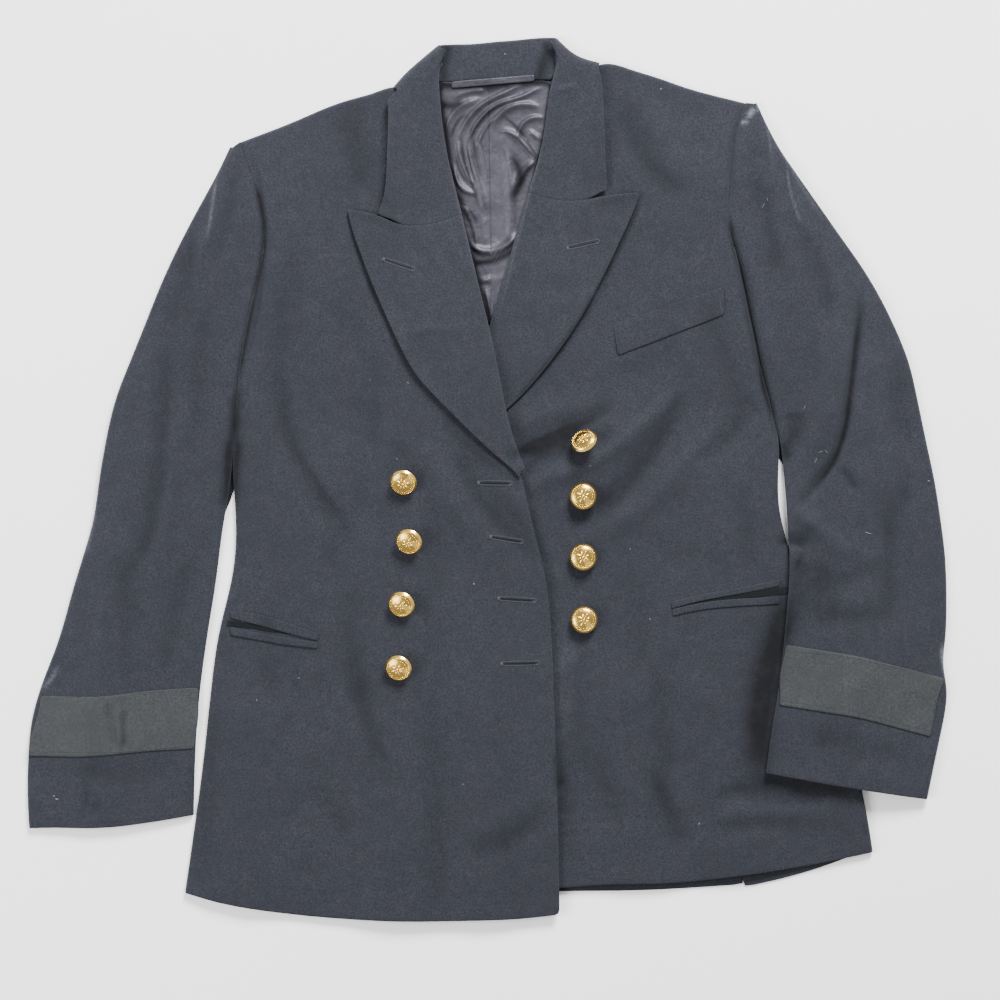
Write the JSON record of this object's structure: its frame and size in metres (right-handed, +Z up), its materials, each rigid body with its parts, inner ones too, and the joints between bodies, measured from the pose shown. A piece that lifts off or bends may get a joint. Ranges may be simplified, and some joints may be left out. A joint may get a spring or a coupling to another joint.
{
  "type": "uniform dress jacket, double-breasted, laid flat",
  "caption": "Double-breasted uniform dress jacket laid flat and unfastened: peak lapels, gilt buttons, braided cuffs, jetted pockets and a breast welt.",
  "frame": {"origin": "centre of the jacket's outline on the surface that it lies on", "axes": "+Z up out of the surface; +X to the right as one looks down on the jacket; +Y towards the collar"},
  "size_m": [0.7926, 0.76, 0.0233],
  "materials": {
    "serge": "navy wool serge, matt, slightly fuzzy",
    "braid": "flat woven mohair braid, matt",
    "lining": "grey satin lining, lustrous",
    "gilt": "gilt, polished relief"
  },
  "bodies": {
    "root": {"front_left": "serge", "front_right": "serge", "lapel_left": "serge", "lapel_right": "serge", "collar_left": "serge", "collar_back": "serge", "collar_right": "serge", "back_left": "serge", "back_right": "serge", "side_body_left": "serge", "side_body_right": "serge", "top_sleeve_left": "serge", "top_sleeve_right": "serge", "under_sleeve_left": "serge", "under_sleeve_right": "serge", "cuff_braid_left": "braid", "cuff_braid_right": "braid", "lining_left": "lining", "lining_right": "lining", "hanger_loop": "lining", "pocket_jet_upper_left": "serge", "pocket_jet_lower_left": "serge", "pocket_jet_upper_right": "serge", "pocket_jet_lower_right": "serge", "breast_welt": "serge", "button_left_1": "gilt", "button_left_2": "gilt", "button_left_3": "gilt", "button_left_4": "gilt", "button_right_1": "gilt", "button_right_2": "gilt", "button_right_3": "gilt", "button_right_4": "gilt"}
  },
  "joints": []
}
